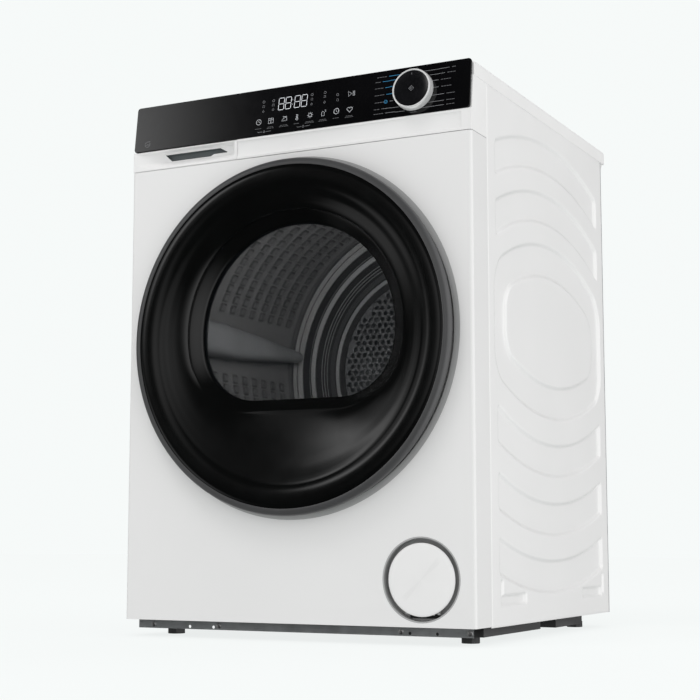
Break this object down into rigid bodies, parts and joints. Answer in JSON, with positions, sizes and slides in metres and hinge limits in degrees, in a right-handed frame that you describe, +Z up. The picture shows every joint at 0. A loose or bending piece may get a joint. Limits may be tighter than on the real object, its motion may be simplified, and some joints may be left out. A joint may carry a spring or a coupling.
{
  "type": "clothes dryer",
  "caption": "Front-loading heat-pump clothes dryer with a round tinted door, water tank drawer, rotary selector, drum, service flap and levelling feet.",
  "frame": {"origin": "centre of the dryer's footprint box on the floor, feet screwed fully in", "axes": "+X to the right as the front is faced, +Y to the rear, +Z up; the door faces -Y"},
  "size_m": [0.595, 0.653, 0.8505],
  "materials": {
    "white_paint": "satin baked enamel",
    "white_plastic": "semi-gloss moulded ABS",
    "worktop_white": "fine textured laminate",
    "black_fascia": "high gloss, printed",
    "black_dish": "high gloss",
    "window_glass": "tinted, polished",
    "dark_chrome": "dark polished plating",
    "dark_plastic": "fine moulded grain",
    "light_grey_plastic": "satin moulded",
    "grey_plastic": "satin moulded",
    "galvanised_steel": "zinc coated sheet",
    "bright_steel": "zinc plated",
    "drum_steel": "brushed stainless",
    "rubber": "matt moulded",
    "felt": "pressed felt",
    "compressor_black": "semi-gloss paint",
    "fin_aluminium": "rolled fins",
    "copper_tube": "drawn copper",
    "board_green": "solder resist",
    "tank_plastic": "translucent blow moulded",
    "knob_black": "gloss face",
    "knob_silver": "polished plating",
    "filter_blue": "satin moulded"
  },
  "bodies": {
    "cabinet": {"base_pan": "dark_plastic", "front_plinth": "galvanised_steel", "cabinet_screws": "bright_steel", "left_side_panel": "white_paint", "right_side_panel": "white_paint", "front_panel": "white_paint", "rear_panel": "galvanised_steel", "rear_duct_cover": "galvanised_steel", "worktop_panel": "worktop_white", "worktop_frame": "white_plastic", "console_housing": "white_plastic", "fascia_glass": "black_fascia", "display_board": "board_green", "door_surround": "light_grey_plastic", "front_bulkhead": "grey_plastic", "drum_seal": "felt", "hinge_bracket": "galvanised_steel", "hinge_pin": "bright_steel", "door_lock": "dark_plastic", "rear_bulkhead": "galvanised_steel", "motor_body": "galvanised_steel", "drive_belt": "rubber", "blower_housing": "dark_plastic", "compressor": "compressor_black", "evaporator": "fin_aluminium", "condenser": "fin_aluminium", "refrigerant_pipes": "copper_tube", "condensate_pump": "dark_plastic", "control_board": "board_green", "mains_gland": "dark_plastic", "tank_bay": "grey_plastic", "drain_spigot": "grey_plastic", "filter_bay": "light_grey_plastic"},
    "door": {"door_bezel": "dark_chrome", "door_dish": "black_dish", "door_window": "window_glass", "door_inner_frame": "dark_plastic", "door_gasket": "rubber", "door_latch_hook": "bright_steel", "door_hinge_arm": "bright_steel"},
    "tank_drawer": {"tank_front": "white_plastic", "tank_fascia": "black_fascia", "water_tank": "tank_plastic"},
    "knob": {"knob_body": "knob_black", "knob_ring": "knob_silver"},
    "drum": {"drum_shell": "drum_steel", "drum_rear_wall": "drum_steel", "drum_lifters": "grey_plastic", "drum_shaft": "bright_steel"},
    "left_roller": {"roller_left": "grey_plastic"},
    "right_roller": {"roller_right": "grey_plastic"},
    "motor_shaft": {"motor_rotor": "bright_steel", "fan_wheel": "dark_plastic"},
    "service_flap": {"filter_cover": "white_plastic"},
    "pump_filter_plug": {"pump_filter": "filter_blue"},
    "lint_screen": {"lint_filter": "filter_blue"},
    "front_left_foot": {"foot_front_left": "dark_plastic"},
    "front_right_foot": {"foot_front_right": "dark_plastic"},
    "rear_left_foot": {"foot_rear_left": "dark_plastic"},
    "rear_right_foot": {"foot_rear_right": "dark_plastic"}
  },
  "joints": [
    {"name": "door_hinge", "type": "hinge", "parent": "cabinet", "child": "door", "pos_m": [-0.262, -0.3125, 0.4554], "axis": [0, 0, -1], "range_deg": [0, 160]},
    {"name": "tank_slide", "type": "slide", "parent": "cabinet", "child": "tank_drawer", "axis": [0, -1, 0], "range_m": [0, 0.32]},
    {"name": "knob_turn", "type": "hinge", "parent": "cabinet", "child": "knob", "pos_m": [0.2056, -0.29618, 0.81075], "axis": [0, -0.9932, 0.1167], "continuous": true},
    {"name": "drum_spin", "type": "hinge", "parent": "cabinet", "child": "drum", "pos_m": [0, 0, 0.4554], "axis": [0, 1, 0], "continuous": true},
    {"name": "left_roller_spin", "type": "hinge", "parent": "cabinet", "child": "left_roller", "pos_m": [-0.19563, -0.2085, 0.22225], "axis": [0, 1, 0], "continuous": true},
    {"name": "right_roller_spin", "type": "hinge", "parent": "cabinet", "child": "right_roller", "pos_m": [0.19563, -0.2085, 0.22225], "axis": [0, 1, 0], "continuous": true},
    {"name": "motor_spin", "type": "hinge", "parent": "cabinet", "child": "motor_shaft", "pos_m": [0.19, 0.1405, 0.13], "axis": [0, 1, 0], "continuous": true},
    {"name": "flap_hinge", "type": "hinge", "parent": "cabinet", "child": "service_flap", "pos_m": [0.2133, -0.293, 0.0465], "axis": [1, 0, 0], "range_deg": [0, 56]},
    {"name": "pump_filter_turn", "type": "hinge", "parent": "cabinet", "child": "pump_filter_plug", "pos_m": [0.2133, -0.2395, 0.0925], "axis": [0, -1, 0], "range_deg": [0, 90]},
    {"name": "lint_filter_lift", "type": "slide", "parent": "cabinet", "child": "lint_screen", "axis": [0, 0, 1], "range_m": [0, 0.19]},
    {"name": "front_left_foot_screw", "type": "slide", "parent": "cabinet", "child": "front_left_foot", "axis": [0, 0, -1], "range_m": [0, 0.012]},
    {"name": "front_right_foot_screw", "type": "slide", "parent": "cabinet", "child": "front_right_foot", "axis": [0, 0, -1], "range_m": [0, 0.012]},
    {"name": "rear_left_foot_screw", "type": "slide", "parent": "cabinet", "child": "rear_left_foot", "axis": [0, 0, -1], "range_m": [0, 0.012]},
    {"name": "rear_right_foot_screw", "type": "slide", "parent": "cabinet", "child": "rear_right_foot", "axis": [0, 0, -1], "range_m": [0, 0.012]}
  ],
  "couplings": [
    {"joint": "left_roller_spin", "follows": "drum_spin", "ratio": -14.2},
    {"joint": "right_roller_spin", "follows": "drum_spin", "ratio": -14.2},
    {"joint": "motor_spin", "follows": "drum_spin", "ratio": 31.556}
  ]
}
